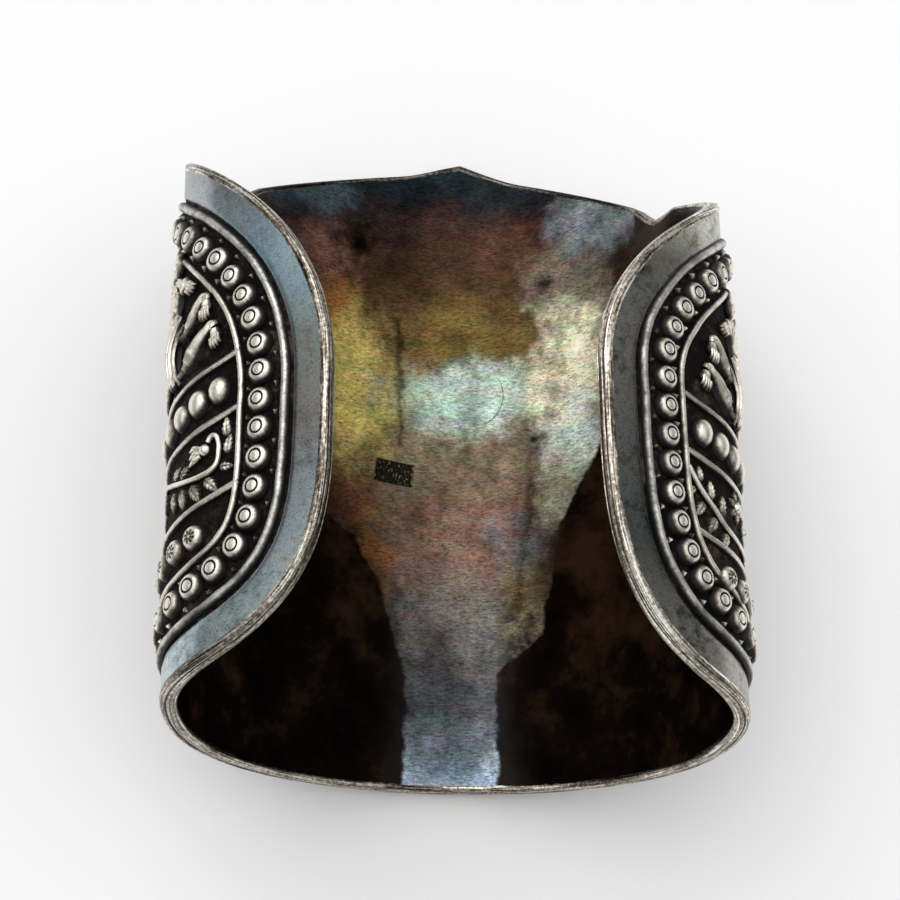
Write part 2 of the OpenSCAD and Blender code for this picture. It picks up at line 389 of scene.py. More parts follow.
# The colour is darker round each dent.
waver = add_node(silver, "TexNoise", {"Vector": place, "Scale": 0.3, "Detail": 5, "Roughness": 0.6})
for s, y, wide, deep in DENTS:
    off = add_node(silver, "VectorMath", [place, (s, y, -WALL)], give="Value", operation="DISTANCE")
    off = add_node(silver, "Math", [waver, 2.8 * wide, off], operation="MULTIPLY_ADD")
    shades.append(add_node(silver, "MapRange", [off, 1.7 * wide, 2.7 * wide, 0.1]))


def dark_near(material, value, mark, inside, outside, dark):
    """A shade that is dark where a value is nearer to a mark than inside, and fades to 1 at outside."""
    off = add_node(material, "Math", [value, mark], operation="SUBTRACT")
    off = add_node(material, "Math", [off], operation="ABSOLUTE")
    return add_node(material, "MapRange", [off, inside, outside, dark])


# Long wavering creases of the planishing, painted as lines of shade with no fold in the sheet
# [s, y, s, y, shade], and one fine scratch in an arc
CREASES = [(-5.4, 62, -4.4, 43, 0.36), (13.5, 48, 10.5, 22, 0.65), (-5.2, 27, -5.4, 12, 0.6)]
CREASE_SWAY = 4.0
CREASE_END = 2.0
SCRATCH_AT = (4.8, 51.0)
SCRATCH_R = 4.35
SCRATCH_ENDS = [(6.6, 6.0), (52.4, 53.0)]
for s0, y0, s1, y1, shade in CREASES:
    lean = (s1 - s0) / (y1 - y0)
    half = (y0 - y1) / 2
    off = add_node(silver, "Math", [along, -lean, lean * y0 - s0], operation="MULTIPLY_ADD")
    off = add_node(silver, "Math", [across, off], operation="ADD")
    off = add_node(silver, "Math", [waver, CREASE_SWAY, off], operation="MULTIPLY_ADD")
    # The painted shade of a crease, darkest along its wavering middle line.
    painted_crease_shade = dark_near(silver, off, CREASE_SWAY / 2, 0.1, 0.9, shade)
    end = dark_near(silver, along, (y0 + y1) / 2, half - CREASE_END, half, 0)
    shades.append(add_node(silver, "Math", [painted_crease_shade, end], operation="MAXIMUM"))
off = add_node(silver, "VectorMath", [place, (*SCRATCH_AT, -WALL)], give="Value", operation="DISTANCE")
scratch = dark_near(silver, off, SCRATCH_R, 0.03, 0.12, 0.4)
for value, (inside, outside) in zip((across, along), SCRATCH_ENDS):
    end = add_node(silver, "MapRange", [value, inside, outside])
    scratch = add_node(silver, "Math", [scratch, end], operation="MAXIMUM")
for shade in shades + [scratch]:
    colour = add_node(silver, "VectorMath", [colour, shade], operation="MULTIPLY")

# The struck rectangle of a worn hallmark is dark, with pale nicks and nothing to read in it.
STAMP_TURN = math.radians(6)
NICKS = (9, 2.2, 1)
struck_place = add_node(silver, "Mapping", {"Vector": place, "Location": (-STAMP_AT[0], -STAMP_AT[1], 0)})
struck_place = add_node(silver, "VectorRotate", {"Vector": struck_place, "Angle": STAMP_TURN},
                        rotation_type="Z_AXIS")
struck_place = add_node(silver, "VectorMath", [struck_place, (2 / STAMP_SIZE[0], 2 / STAMP_SIZE[1], 0)],
                        operation="MULTIPLY")
struck = add_node(silver, "VectorMath", [struck_place], operation="ABSOLUTE")
struck = [add_node(silver, "SeparateXYZ", [struck], give=side) for side in ("X", "Y")]
struck = add_node(silver, "Math", struck, operation="MAXIMUM")
struck = add_node(silver, "MapRange", [struck, 1.06, 0.96])
nicks = add_node(silver, "VectorMath", [struck_place, NICKS], operation="MULTIPLY")
nicks = add_node(silver, "TexNoise", {"Vector": nicks, "Scale": 1, "Detail": 3})
nicks = add_node(silver, "ValToRGB", [nicks], stops=[
    (0.45, "#14110c"), (0.58, "#1d1912"), (0.64, "#5d5544")])
colour = add_node(silver, "MixRGB", [struck, colour, nicks])

# Near the lower edge all but a strip in the middle is painted dark: a painted shade and a painted dark
# reflection of the cuff's two ends, in arches that leave the lit strip wider higher up. An edge is where it
# starts round the wrist, and then stretches [from height, to height, step out].
STRIP_EDGES = {
    1: (7.6, [(14.5, 19, 6.0), (19, 33, 3.0), (33, 43, 6.6), (43, 47, 7)]),
    -1: (4.2, [(14, 24, 2.8), (24, 31, 4.0), (31, 34.5, 6.5), (34.5, 37, 14)])}
STRIP_SWAY = 2.4
past_edges = []
for side, (edge, stretches) in STRIP_EDGES.items():
    for low, high, step in stretches:
        part = add_node(silver, "MapRange", [along, low, high, 0, step])
        edge = add_node(silver, "Math", [part, edge], operation="ADD")
    edge = add_node(silver, "Math", [waver, STRIP_SWAY, edge], operation="MULTIPLY_ADD")
    past = add_node(silver, "Math", [across, side, STRIP_SWAY / 2], operation="MULTIPLY_ADD")
    past_edges.append(add_node(silver, "Math", [past, edge], operation="SUBTRACT"))
painted_shade_mask = add_node(silver, "Math", past_edges, operation="MAXIMUM")
painted_shade_mask = add_node(silver, "MapRange", [painted_shade_mask, -0.3, 0.4], interpolation_type="SMOOTHSTEP")
# The colour of the painted shade: dark brown, with a grain from the clouds.
painted_shade_colour = clouds
for part in ([along, 3, 30, -0.08, 0.08], [across, -25, 25, 0, 0.03]):
    painted_shade_colour = add_node(silver, "Math", [painted_shade_colour, add_node(silver, "MapRange", part)], operation="ADD")
painted_shade_colour = add_node(silver, "ValToRGB", [painted_shade_colour], stops=[(0.36, "#090605"), (0.52, "#160e0a"), (0.7, "#38271a")])
colour = add_node(silver, "MixRGB", [painted_shade_mask, colour, painted_shade_colour])

# The matt clouds and the painted shade hide the metal, and the film gets rougher as it gets thicker.
bare = add_node(silver, "Math", [1.0, matt], operation="SUBTRACT")
bare = add_node(silver, "MixRGB", [painted_shade_mask, bare, (0.3, 0.3, 0.3, 1)])
film = add_node(silver, "MapRange", [drifted_along, 14, 44, 0.14, 0.36])
film = add_node(silver, "Math", [matt, 0.25, film], operation="MULTIPLY_ADD")
film = add_node(silver, "MixRGB", [painted_shade_mask, film, (0.16, 0.16, 0.16, 1)])
feed(silver, shader, {"Base Color": colour, "Metallic": bare, "Roughness": film,
                      "Specular IOR Level": 0.08})
liner.data.materials.append(silver)
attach(liner, "root")
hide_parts("cuff")


# The chased outer sheet
# The outer half of the wall, soldered to the liner all round. Its plain margin was burnished and has
# tarnished blue-grey; the ground inside the border was matted with a fine punch and blackened.
OUTER_THICK = 0.9
RIM_LINE_N = 260
LINED_IN = 4.4
LINED_W = 0.3
LINED_DEEP = 0.22
UNEVEN = 0.03
UNEVEN_LEN = 7
outer_sheet = sheet("outer_sheet", 0, EDGE_IN, 90)
thicken(outer_sheet, OUTER_THICK)
rim_line = [point for point, side in outline(RIM_LINE_N)]
inset = outer_sheet.data.attributes.new("inset", "FLOAT", "POINT")
for vertex in outer_sheet.data.vertices:
    s, y, h = vertex.co
    far_in = min(math.hypot(s - p.x, y - p.y) for p in rim_line)
    inset.data[vertex.index].value = far_in
    if h > -OUTER_THICK / 2:
        lined = math.exp(-((far_in - LINED_IN) / LINED_W) ** 2)
        vertex.co.z += UNEVEN * noise.noise(Vector((s / UNEVEN_LEN, y / UNEVEN_LEN, 1))) - LINED_DEEP * lined
bend_round_wrist(outer_sheet)

# Burnished silver margin with a thin grey sulphide film, tinted otherwise on each side, and a matted ground
# filled with black oxide. The right side's margin is painted lighter toward its top, a painted highlight.
# The margin mirrors softly, the ground hardly at all.
silver, shader = new_material("tarnished_burnished_silver")
place = add_node(silver, "Attribute", give="Vector", attribute_name="flat")
inward = add_node(silver, "Attribute", give="Fac", attribute_name="inset")
ground = add_node(silver, "MapRange", [inward, LINED_IN - 0.45, LINED_IN - 0.15],
                  interpolation_type="SMOOTHSTEP")
clouds = add_node(silver, "TexNoise", {"Vector": place, "Scale": 0.12, "Detail": 6, "Roughness": 0.65})
patches = add_node(silver, "TexNoise", {"Vector": place, "Scale": 0.9, "Detail": 7, "Roughness": 0.72})
patches = add_node(silver, "Math", [clouds, patches], operation="ADD")
patches = add_node(silver, "Math", [patches, 0.5], operation="MULTIPLY")
side = add_node(silver, "SeparateXYZ", [place], give="X")
side = add_node(silver, "MapRange", [side, -20, 20])
height = add_node(silver, "SeparateXYZ", [place], give="Y")
height = add_node(silver, "MapRange", [height, 0, BANDS_LEN])

# Two sets of patches and of bands of film, one for each side of the cuff; the right film turns near white
# toward the top, a painted highlight
margin_left = add_node(silver, "ValToRGB", [patches], stops=[
    (0.37, "#96979a"), (0.44, "#c8d4db"), (0.5, "#e0ecf3"), (0.56, "#eff7fa"), (0.62, "#dfd5cb")])
margin_right = add_node(silver, "ValToRGB", [patches], stops=[
    (0.38, "#6f6f6b"), (0.44, "#bfc3c0"), (0.5, "#f2f4f0"), (0.55, "#ffffff"), (0.61, "#c8bcaa")])
film_left = add_node(silver, "ValToRGB", [height], stops=[
    (0.1, "#eaf3f2"), (0.185, "#c3cbd0"), (0.32, "#a1978f"), (0.437, "#9fa5a0"), (0.555, "#cce3ef"),
    (0.678, "#d6d5d6"), (0.77, "#b2aca6")])
right_film_and_highlight = add_node(silver, "ValToRGB", [height], stops=[
    (0.1, "#c4c0bc"), (0.213, "#7c8380"), (0.336, "#969b9b"), (0.467, "#b2b0ae"), (0.6, "#b0afa8"),
    (0.67, "#f0f0e8"), (0.76, "#ffffff")])
film = add_node(silver, "MixRGB", [side, film_left, right_film_and_highlight])
margin = add_node(silver, "MixRGB", [side, margin_left, margin_right])
margin = add_node(silver, "VectorMath", [margin, film], operation="MULTIPLY")
specks = add_node(silver, "TexNoise", {"Vector": place, "Scale": 4, "Detail": 4, "Roughness": 0.8})
specks = add_node(silver, "ValToRGB", [specks], stops=[
    (0.32, "#6a6a6c"), (0.43, "#ccced0"), (0.5, "#ffffff"), (0.57, "#dcd6d0"), (0.64, "#4e4642")])
margin = add_node(silver, "VectorMath", [margin, specks], operation="MULTIPLY")

# The ground is dark and rough, and its punch marks stand a quarter of a millimetre apart.
oxide = add_node(silver, "ValToRGB", [patches], stops=[
    (0.4, "#050303"), (0.5, "#100c0a"), (0.56, "#2b231d"), (0.62, "#4a4037")])
colour = add_node(silver, "MixRGB", [ground, margin, oxide])
rough = add_node(silver, "MapRange", [ground, 0, 1, 0.32, 0.8])
# The right side's top is half matt, which lets its painted lighter colour show.
matt = add_node(silver, "MapRange", [height, 0.6, 0.7, 0, 0.6])
matt = add_node(silver, "Math", [matt, side], operation="MULTIPLY")
bare = add_node(silver, "Math", [1.0, matt], operation="SUBTRACT")
bare = add_node(silver, "MixRGB", [ground, bare, (0.15, 0.15, 0.15, 1)])
punched = add_node(silver, "TexVoronoi", {"Vector": place, "Scale": 4.2}, give="Distance")
punched = add_node(silver, "Math", [punched, ground], operation="MULTIPLY")
bump = add_node(silver, "Bump", {"Height": punched, "Strength": 0.7, "Distance": 0.00015})
feed(silver, shader, {"Base Color": colour, "Roughness": rough, "Metallic": bare, "Normal": bump,
                      "Specular IOR Level": 0.12})
outer_sheet.data.materials.append(silver)
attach(outer_sheet, "root")
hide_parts("cuff")


# The rim
# Liner and outer sheet meet in a rolled edge, soldered and filed round, with the seams still showing
# as two dark lines along it. It is the part that hands rub most, so it is the brightest.
# The profile is a round of points [inward, height] with a dip at each seam.
RIM_PROFILE = [
    (1.05, -0.1), (0.97, 0.04), (0.7, 0.09), (0.4, 0.06), (0.2, -0.02), (0.06, -0.14), (0.01, -0.3),
    (0.07, -0.46), (0.2, -0.55), (0.08, -0.64), (0.0, -0.85), (0.0, -1.1), (0.05, -1.3), (0.18, -1.38),
    (0.1, -1.46), (0.16, -1.62), (0.34, -1.74), (0.6, -1.72), (0.95, -1.66), (1.2, -0.85)]
RING_STEPS = 256
RING_R = 62.0
RING_EASE = 4


def ring(name, profile, inward, peak=False, wobble=0.0):
    """A bead that runs round the sheet: a ring primitive whose circle becomes the profile."""
    bpy.ops.object.select_all(action="DESELECT")
    bpy.ops.mesh.primitive_torus_add(major_segments=RING_STEPS, minor_segments=len(profile), major_radius=10,
                                     minor_radius=1)
    made = bpy.context.object
    made.name = name
    line = outline(RING_STEPS, peak, EDGE_EASE if peak else RING_EASE)
    drawn = made.data.attributes.new("drawn", "FLOAT_VECTOR", "POINT")
    for vertex in made.data.vertices:
        run, side = divmod(vertex.index, len(profile))
        middle, inner = line[run]
        further_in, high = profile[side]
        sway = wobble * noise.noise(Vector((middle.x / 6, middle.y / 6, inward)))
        swell = 1 + 1.5 * wobble * noise.noise(Vector((middle.x / 3.5, middle.y / 3.5, inward + 5)))
        place = middle + inner * (inward + further_in + sway)
        turned_by = math.tau * run / RING_STEPS
        drawn.data[vertex.index].vector = (RING_R * math.cos(turned_by), RING_R * math.sin(turned_by),
                                           3 * high + further_in)
        vertex.co = (place.x, place.y, high * (swell if high > 0 else 1))
    return made


rim = ring("rim", RIM_PROFILE, 0, peak=True)
bend_round_wrist(rim, 50)

# Silver rubbed bright by wear, with brown tarnish left in streaks along the filed edge and in its seam.
# It is painted darker at the top edge, a painted shade, and brighter on the right, a painted highlight.
# Streaks are 20 times longer than wide.
SEAM_H = -0.55
silver, shader = new_material("worn_filed_silver")
place = add_node(silver, "Attribute", give="Vector", attribute_name="flat")
stretched = add_node(silver, "Attribute", give="Vector", attribute_name="drawn")
stretched = add_node(silver, "VectorMath", [stretched, (0.13, 0.13, 2.6)], operation="MULTIPLY")
streaks = add_node(silver, "TexNoise", {"Vector": stretched, "Scale": 1, "Detail": 7, "Roughness": 0.7})
pitting = add_node(silver, "TexNoise", {"Vector": place, "Scale": 2.4, "Detail": 4, "Roughness": 0.75})
streaks = add_node(silver, "Math", [streaks, 2, pitting], operation="MULTIPLY_ADD")
streaks = add_node(silver, "Math", [streaks, 3], operation="DIVIDE")
colour = add_node(silver, "ValToRGB", [streaks], stops=[
    (0.36, "#1b1512"), (0.44, "#443b33"), (0.495, "#7d7468"), (0.54, "#bfb8ab"), (0.6, "#f6f2ea")])
across, along, height = [add_node(silver, "SeparateXYZ", [place], give=side) for side in ("X", "Y", "Z")]
painted_shade_top_edge = add_node(silver, "MapRange", [along, 66, 75, 1, 0.22])
painted_light_right_side = add_node(silver, "MapRange", [across, 30, 62, 1, 1.75])
seam = dark_near(silver, height, SEAM_H, 0.04, 0.12, 0.15)
for shade in (painted_shade_top_edge, painted_light_right_side, seam):
    colour = add_node(silver, "VectorMath", [colour, shade], operation="MULTIPLY")
bump = add_node(silver, "Bump", {"Height": streaks, "Strength": 0.5, "Distance": 0.0001})
feed(silver, shader, {"Base Color": colour, "Metallic": 1, "Roughness": 0.3, "Normal": bump})
rim.data.materials.append(silver)
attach(rim, "root")
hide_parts("cuff")


# The two ribs of the border
# Half-round beads that run round the whole sheet, raised from behind with a curved tool and then
# set in with a liner from the front, which leaves a dark groove along their outer side.
OUTER_RIB_IN = 5.1
OUTER_RIB_W = 1.15
OUTER_RIB_H = 0.62
INNER_RIB_IN = 10.5
INNER_RIB_W = 0.9
INNER_RIB_H = 0.55
RIB_WOBBLE = 0.12
SUNK = 0.4


def half_round(wide, high, sides=12):
    """A half-round profile with its foot under the sheet."""
    turns = [math.tau * k / sides for k in range(sides)]
    return [(wide / 2 * math.cos(t), (high if math.sin(t) > 0 else SUNK) * math.sin(t)) for t in turns]


def oxidised_silver_with_painted_light(name, low, high, middle="#7d756b", bright="#d6d0c4"):
    """Oxidised silver by height in mm: black oxide and painted shade low, worn bright with a painted
    highlight high.
    """
    material, shader = new_material(name)
    place = add_node(material, "Attribute", give="Vector", attribute_name="flat")
    stamp = add_node(material, "Attribute", give="Fac", attribute_name="stamp")
    grain = add_node(material, "TexNoise", {"Vector": place, "Scale": 1.7, "Detail": 7, "Roughness": 0.75})
    wear = add_node(material, "TexNoise", {"Vector": place, "Scale": 0.45, "Detail": 3, "Roughness": 0.6})
    height = add_node(material, "SeparateXYZ", [place], give="Z")
    # Low parts are black oxide with painted shade on the flanks; high parts are worn bright with a painted
    # highlight.
    wear_and_painted_light = add_node(material, "MapRange", [height, low, high])
    wear_and_painted_light = add_node(material, "Math", [grain, 0.75, wear_and_painted_light], operation="MULTIPLY_ADD")
    wear_and_painted_light = add_node(material, "Math", [wear, 0.7, wear_and_painted_light], operation="MULTIPLY_ADD")
    wear_and_painted_light = add_node(material, "Math", [wear_and_painted_light, 0.73], operation="SUBTRACT")
    wear_and_painted_light = add_node(material, "Math", [wear_and_painted_light, stamp], operation="SUBTRACT")
    colour = add_node(material, "ValToRGB", [wear_and_painted_light], stops=[
        (0.0, "#0c080a"), (0.3, "#2a2422"), (0.58, middle), (0.9, bright)])
    rough = add_node(material, "MapRange", [wear_and_painted_light, 0, 1, 0.55, 0.22])
    bare = add_node(material, "MapRange", [wear_and_painted_light, 0, 0.4, 0.2])
    bump = add_node(material, "Bump", {"Height": grain, "Strength": 0.5, "Distance": 0.00012})
    feed(material, shader, {"Base Color": colour, "Roughness": rough, "Metallic": bare, "Normal": bump})
    return material


outer_rib = ring("outer_rib", half_round(OUTER_RIB_W, OUTER_RIB_H), OUTER_RIB_IN, wobble=RIB_WOBBLE)
inner_rib = ring("inner_rib", half_round(INNER_RIB_W, INNER_RIB_H), INNER_RIB_IN, wobble=RIB_WOBBLE)
rib_silver = oxidised_silver_with_painted_light("rubbed_silver_ribs", 0.16, 0.56, "#7d766a", "#e6e1d5")
outer_rib.data.materials.append(oxidised_silver_with_painted_light("rubbed_silver_outer_rib", 0.12, 0.7, "#6c6d6a", "#dad8d0"))
inner_rib.data.materials.append(rib_silver)
for piece in (outer_rib, inner_rib):
    bend_round_wrist(piece)
    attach(piece, "root")
    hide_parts("cuff")


# The bosses of the border
# Round bosses driven up from behind, 104 in a row, and each stamped on top with a small ring punch.
# Between them little pointed pips of the ground stand up against the ribs.
BOSS_N = 104
BOSS_IN = 7.85
BOSS_STEPS = [(1.56, -0.3), (1.55, 0.1), (1.5, 0.45), (1.36, 0.78), (1.12, 1.02), (0.9, 1.13), (0.82, 1.13),
              (0.75, 0.98), (0.64, 0.98), (0.57, 1.13), (0.35, 1.2), (0.1, 1.22)]
PUNCHED_RING = (0.6, 0.78)
PUNCHED_FROM = 0.9
BOSS_LINE_N = 720
PIP_R = 0.95
PIP_H = 0.9
PIP_SIDES = [(-1.72, math.pi), (1.62, 0)]


def turned(steps, sides):
    """A round shape built up from its foot, a step [radius, height] at a time."""
    bpy.ops.object.select_all(action="DESELECT")
    bpy.ops.mesh.primitive_circle_add(vertices=sides, radius=steps[0][0], fill_type="NGON",
                                      location=(0, 0, 0))
    made = bpy.context.object
    made.data.transform(Matrix.Translation((0, 0, steps[0][1])))
    bpy.ops.object.mode_set(mode="EDIT")
    bpy.ops.mesh.select_all(action="SELECT")
    for (r0, h0), (r1, h1) in zip(steps, steps[1:]):
        bpy.ops.mesh.extrude_region_move(TRANSFORM_OT_translate={"value": (0, 0, h1 - h0)})
        bpy.ops.transform.resize(value=(r1 / r0, r1 / r0, 1), center_override=(0, 0, h1))
    bpy.ops.object.mode_set(mode="OBJECT")
    return made


def copy_of(master):
    """A copy of a shape, with a mesh of its own."""
    made = master.copy()
    made.data = master.data.copy()
    bpy.context.collection.objects.link(made)
    return made


def joined(pieces, name):
    """One piece made of several."""
    bpy.ops.object.select_all(action="DESELECT")
    for piece in pieces:
        piece.select_set(True)
    bpy.context.view_layer.objects.active = pieces[0]
    if len(pieces) > 1:
        bpy.ops.object.join()
    pieces[0].name = name
    return pieces[0]


def set_in_place(master, places, name):
    """Copies of a shape at each place [s, y, turn, size] of the flat sheet, joined into one piece."""
    copies = []
    for s, y, turned_by, size in places:
        copies.append(copy_of(master))
        copies[-1].data.transform(Matrix.Translation((s, y, 0)) @ Matrix.Rotation(turned_by, 4, "Z")
                                  @ Matrix.Diagonal((size, size, 1, 1)))
    bpy.data.objects.remove(master)
    return joined(copies, name)


def along_ring(inward, count, shift):
    """Evenly spaced places [s, y, direction] on a line round the sheet, from the left tip over the top."""
    line = [middle + inward * inner for middle, inner in outline(BOSS_LINE_N, False, RING_EASE)]
    line.append(line[0])
    sums = run_lengths(line)
    places = []
    for k in range(count):
        spot, step = spot_on(line, sums, (k + shift) / count * sums[-1])
        places.append((spot.x, spot.y, math.atan2(step.y, step.x)))
    return places


boss = turned(BOSS_STEPS, 16)
stamp = boss.data.attributes.new("stamp", "FLOAT", "POINT")
for vertex in boss.data.vertices:
    punched = PUNCHED_RING[0] < vertex.co.xy.length < PUNCHED_RING[1] and vertex.co.z > PUNCHED_FROM
    stamp.data[vertex.index].value = 1.0 if punched else 0.0
spots = []
for i, (s, y, way) in enumerate(along_ring(BOSS_IN, BOSS_N, 0.5)):
    odd = noise.noise(Vector((i * 0.73, 2, 0)))
    even = noise.noise(Vector((i * 0.91, 7, 0)))
    spots.append((s + 0.15 * odd, y + 0.15 * even, way, 1 + 0.06 * even))
bosses = set_in_place(boss, spots, "bosses")
bend_round_wrist(bosses)
bosses.data.materials.append(oxidised_silver_with_painted_light("rubbed_silver_bosses", 0.58, 1.15, bright="#efeadf"))

bpy.ops.object.select_all(action="DESELECT")
bpy.ops.mesh.primitive_cone_add(vertices=3, radius1=PIP_R, radius2=0.05, depth=PIP_H, location=(0, 0, 0))
pip = bpy.context.object
pip.data.transform(Matrix.Translation((0, 0, 0.1)))
spots = []
for side, face in PIP_SIDES:
    for s, y, way in along_ring(BOSS_IN, BOSS_N, 0.0):
        spots.append((s + side * math.sin(way), y - side * math.cos(way), way - math.pi / 2 + face, 1))
pips = set_in_place(pip, spots, "pips")
bend_round_wrist(pips)
pips.data.materials.append(oxidised_silver_with_painted_light("rubbed_silver_pips", -0.1, 0.45))
for piece in (bosses, pips):
    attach(piece, "root")
    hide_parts("cuff")


# The ribs of the rows
# Four thin half-round beads across the front, which part the rows of pearls, the vine and the dancers.
# They are raised as the border's ribs are, and rise a little toward the gap.
ROW_LIFT = 5.0
ROW_SKEW = -0.009
ROW_REACH = 62.0
ROW_RIB_W = 0.9
ROW_RIB_H = 0.58
ROW_RIB_STEPS = 60
ROW_RIBS = [(16.3, -63.6, 62.3), (24.8, -63.4, 63.4), (31.2, -63.2, 63.2), (52.5, -47.9, 48.9)]


def row_y(base, s):
    """Height of a row over the lower edge at s, from its base in the middle."""
    return base + ROW_LIFT * (s / ROW_REACH) ** 4 + ROW_SKEW * s


def drawn_wire(points, radii, soft=2, stretch=1.0, deepest=-0.7):
    """A round wire through points [s, y, h] of the flat sheet, with its own radius at each.

    Its section is stretched out of the sheet, and what would come through the liner is pressed flat.
    """
    line = bpy.data.curves.new("wire", "CURVE")
    line.dimensions = "3D"
    line.bevel_depth = 1
    line.bevel_resolution = soft
    line.resolution_u = 5
    line.use_fill_caps = True
    spline = line.splines.new("BEZIER")
    spline.bezier_points.add(len(points) - 1)
    for knot, place, radius in zip(spline.bezier_points, points, radii):
        knot.co = place
        knot.radius = radius
        knot.handle_left_type = knot.handle_right_type = "AUTO"
    made = bpy.data.objects.new("wire", line)
    bpy.context.collection.objects.link(made)
    bpy.ops.object.select_all(action="DESELECT")
    made.select_set(True)
    bpy.context.view_layer.objects.active = made
    bpy.ops.object.convert(target="MESH")
    made = bpy.context.object
    for vertex in made.data.vertices:
        vertex.co.z = max(stretch * vertex.co.z, deepest)
    return made


ribs = []
for base, left_end, right_end in ROW_RIBS:
    points, radii = [], []
    for i in range(ROW_RIB_STEPS + 1):
        s = left_end + (right_end - left_end) * i / ROW_RIB_STEPS
        sway = 0.12 * noise.noise(Vector((s / 5, base, 0)))
        points.append((s, row_y(base, s) + sway, 0))
        radii.append(ROW_RIB_W / 2 * (1 + 0.15 * noise.noise(Vector((s / 3, base, 9)))))
    ribs.append(drawn_wire(points, radii, stretch=ROW_RIB_H / (ROW_RIB_W / 2)))
row_ribs = joined(ribs, "row_ribs")
bend_round_wrist(row_ribs)
row_ribs.data.materials.append(rib_silver)
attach(row_ribs, "root")
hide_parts("cuff")


# The plain pearls
# A row of smooth oval pearls, driven up from behind one against the next between two ribs.
PEARL_N = 44
PEARL_BASE = 28
PEARL_REACH = 62.0
PEARL_HALVES = (1.46, 1.7, 1.13)
PEARL_FOOT = -0.4


def in_row(count, base, reach, seed, turn):
    """Evenly spaced places of the pearls of a row, each a little off in place, turn and size."""
    places = []
    for i in range(count):
        s = reach * ((2 * i + 1) / count - 1)
        odd = noise.noise(Vector((i * seed[0], seed[1], 0)))
        places.append((s, row_y(base, s) + 0.15 * odd, turn * odd, 1 + 0.05 * odd))
    return places


bpy.ops.object.select_all(action="DESELECT")
bpy.ops.mesh.primitive_uv_sphere_add(segments=16, ring_count=12, radius=1, location=(0, 0, 0))
pearl = bpy.context.object
pearl.data.transform(Matrix.Diagonal((*PEARL_HALVES, 1)))
bpy.ops.object.mode_set(mode="EDIT")
bpy.ops.mesh.select_all(action="SELECT")
bpy.ops.mesh.bisect(plane_co=(0, 0, PEARL_FOOT), plane_no=(0, 0, 1), use_fill=True, clear_inner=True)
bpy.ops.object.mode_set(mode="OBJECT")
pearls = set_in_place(pearl, in_row(PEARL_N, PEARL_BASE, PEARL_REACH, (0.67, 4), 0.1), "pearls")
bend_round_wrist(pearls)
pearls.data.materials.append(oxidised_silver_with_painted_light("rubbed_silver_pearls", 0.3, 0.98, bright="#f0eadc"))
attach(pearls, "root")
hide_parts("cuff")


# The stamped pearls
# Rounder pearls in the lowest row, each struck with a small punch of eight rays round a ring.
STAR_N = 38
STAR_BASE = 13.0
STAR_REACH = 59.5
STAR_STEPS = [(1.5, -0.4), (1.48, 0.1), (1.36, 0.5), (1.12, 0.82), (0.86, 0.98), (0.62, 1.06), (0.4, 1.1),
              (0.26, 1.04), (0.14, 1.08)]
STAR_SIDES = 16
STAR_RAYS = (0.3, 0.7)
STAR_RING = (0.2, 0.3)
RAY_DEEP = 0.1
star = turned(STAR_STEPS, STAR_SIDES)
stamp = star.data.attributes.new("stamp", "FLOAT", "POINT")
for vertex in star.data.vertices:
    r = vertex.co.xy.length
    ray = round(math.atan2(vertex.co.y, vertex.co.x) / (math.tau / STAR_SIDES)) % 2
    if vertex.co.z > PUNCHED_FROM and STAR_RAYS[0] < r < STAR_RAYS[1] and ray:
        vertex.co.z -= RAY_DEEP
        stamp.data[vertex.index].value = 0.9
    elif vertex.co.z > PUNCHED_FROM and STAR_RING[0] < r < STAR_RING[1]:
        stamp.data[vertex.index].value = 0.7
stars = set_in_place(star, in_row(STAR_N, STAR_BASE, STAR_REACH, (0.81, 5), 1), "stamped_pearls")
bend_round_wrist(stars)
stars.data.materials.append(oxidised_silver_with_painted_light("rubbed_silver_stamped_pearls", 0.25, 1.0, bright="#ece6d9"))
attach(stars, "root")
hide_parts("cuff")


# The vine
# A running stem in waves between two ribs, with toothed leaves along both sides and a flower in each bend.
# Stem and leaves were raised from behind, and their edges were then set in from the front.
VINE_BASE = 20.6
VINE_SWING = 1.9
VINE_WAVES = 8
VINE_REACH = 62.0
STEM_R = 0.29
STEM_H = 0.34
STEM_STEPS = 80
STEM_REACH = 50.0
LEAVES_REACH = 51.0
LEAF_STEP = 2.4
LEAF_LEN = 2.5
LEAF_HALF = 0.74
LEAF_THICK = 0.5
LEAF_DOME = 0.45
LEAF_BEND = 0.25
LEAF_RISE = 0.12
LEAF_TEETH = 5
MIDRIB_DEEP = 0.22
MIDRIB_W = 0.2
VEIN_DEEP = 0.14
VEINS_N = 4.5
VEIN_LEAN = 0.8
LEAF_LEAN = math.radians(58)
LEAF_OFF = 0.3
LEAF_SIZE = 0.95
INNER_LEAF_SIZE = 0.68
INNER_LEAF_FROM = 0.6
FLOWER_PETALS = 6
PETAL_OFF = 0.35
PETAL_SIZE = 0.62
FLOWER_OFF = 1.15
FLOWER_SIZE = 1.05
HEART_STEPS = [(0.6, -0.2), (0.58, 0.5), (0.4, 0.78), (0.12, 0.86)]
BUD_STEPS = [(0.85, -0.3), (0.84, 0.2), (0.66, 0.62), (0.36, 0.84), (0.1, 0.9)]
LEFT_HOOK = [(-59.4, 22.75), (-59.8, 23.15), (-60.4, 23.0)]
LEFT_END = [(-60.8, 22.2), (-60.9, 20.9), (-60.7, 19.8), (-60.1, 19.4), (-58.6, 19.4), (-57, 19.8),
            (-55.3, 20.4), (-53.2, 21.3)]
RIGHT_END = [(52, 18.4), (54, 18.3), (56, 18.5), (58, 18.9), (59.2, 19.7), (60.7, 20.6), (62.1, 21.7),
             (63.2, 22.9)]
